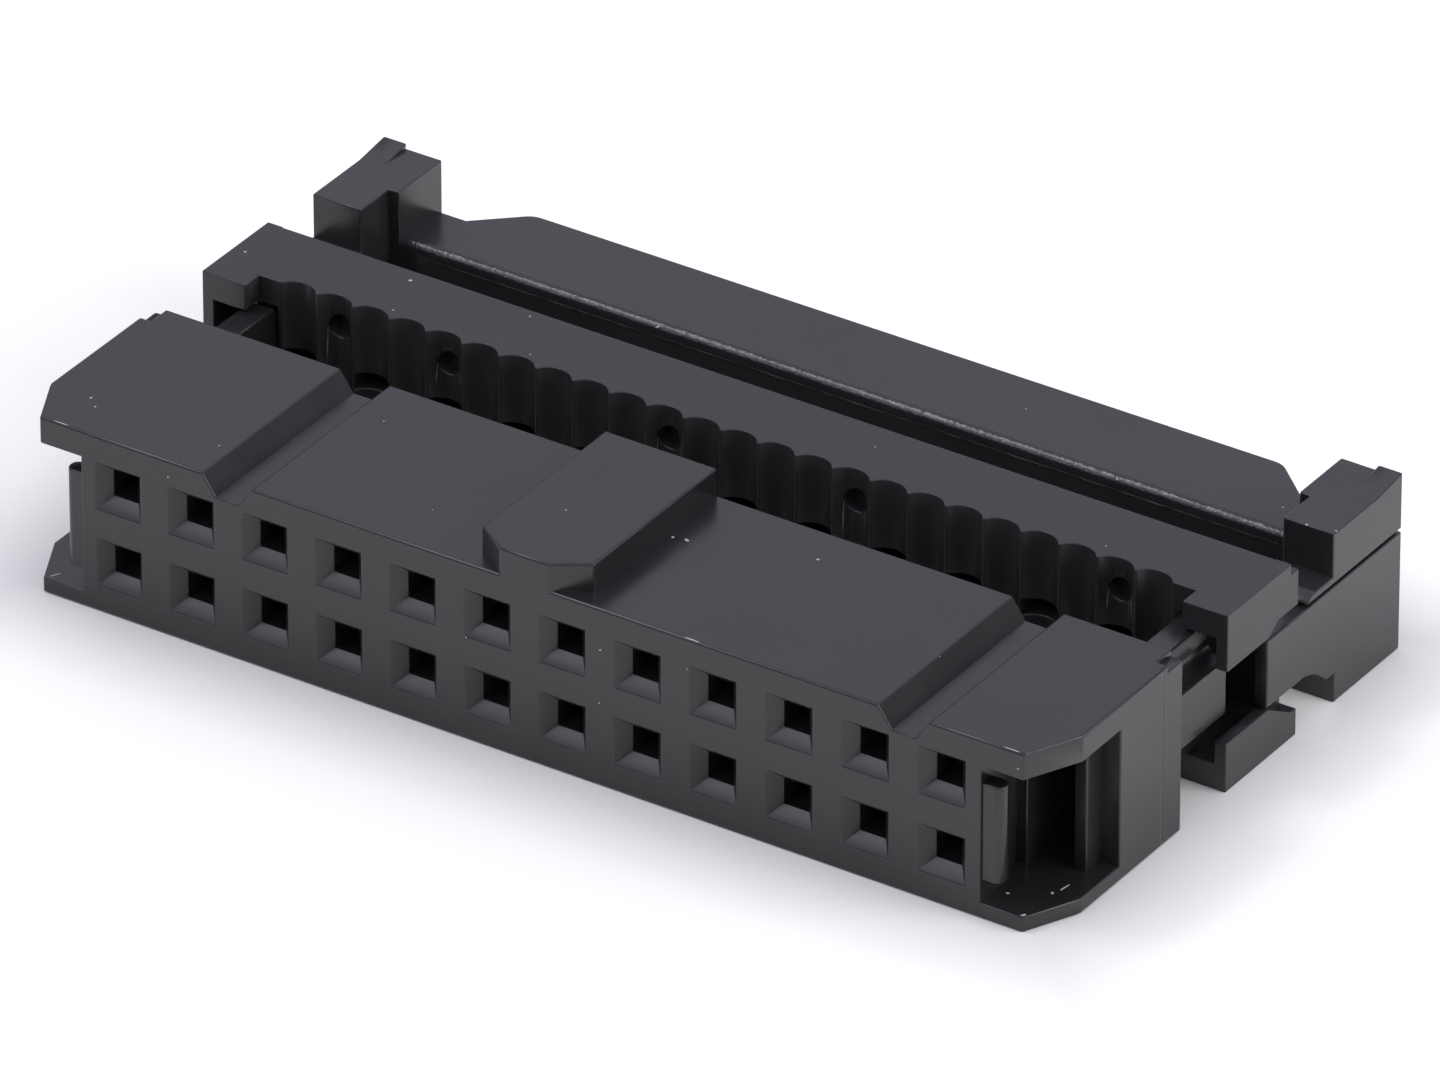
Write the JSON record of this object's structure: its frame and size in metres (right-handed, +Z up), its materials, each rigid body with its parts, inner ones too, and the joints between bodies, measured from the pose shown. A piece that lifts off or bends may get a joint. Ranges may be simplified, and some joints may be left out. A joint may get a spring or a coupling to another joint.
{
  "type": "insulation displacement connector",
  "caption": "Ribbon cable socket in black plastic: rows of square openings, end ears, a central key, a scalloped press-on cover and a strain relief bar.",
  "frame": {"origin": "middle of the mating face, between the two rows of openings", "axes": "+X along the rows, +Y from the mating face towards the cable side, +Z up, out of the face that carries the key"},
  "size_m": [0.035, 0.0198, 0.0067],
  "materials": {
    "housing": "black glass-filled moulding, fine satin grain",
    "contact": "stamped copper alloy, thin plating"
  },
  "bodies": {
    "socket": {"socket_body": "housing", "contact_01": "contact", "contact_02": "contact", "contact_03": "contact", "contact_04": "contact", "contact_05": "contact", "contact_06": "contact", "contact_07": "contact", "contact_08": "contact", "contact_09": "contact", "contact_10": "contact", "contact_11": "contact", "contact_12": "contact", "contact_13": "contact", "contact_14": "contact", "contact_15": "contact", "contact_16": "contact", "contact_17": "contact", "contact_18": "contact", "contact_19": "contact", "contact_20": "contact", "contact_21": "contact", "contact_22": "contact", "contact_23": "contact", "contact_24": "contact"},
    "cover": {"cover": "housing"},
    "strain_relief": {"strain_relief": "housing"}
  },
  "joints": [
    {"name": "cover_press", "type": "slide", "parent": "socket", "child": "cover", "axis": [0, -1, 0], "range_m": [0, 0.0023]},
    {"name": "strain_relief_press", "type": "slide", "parent": "cover", "child": "strain_relief", "axis": [0, -1, 0], "range_m": [0, 0.00182]}
  ]
}
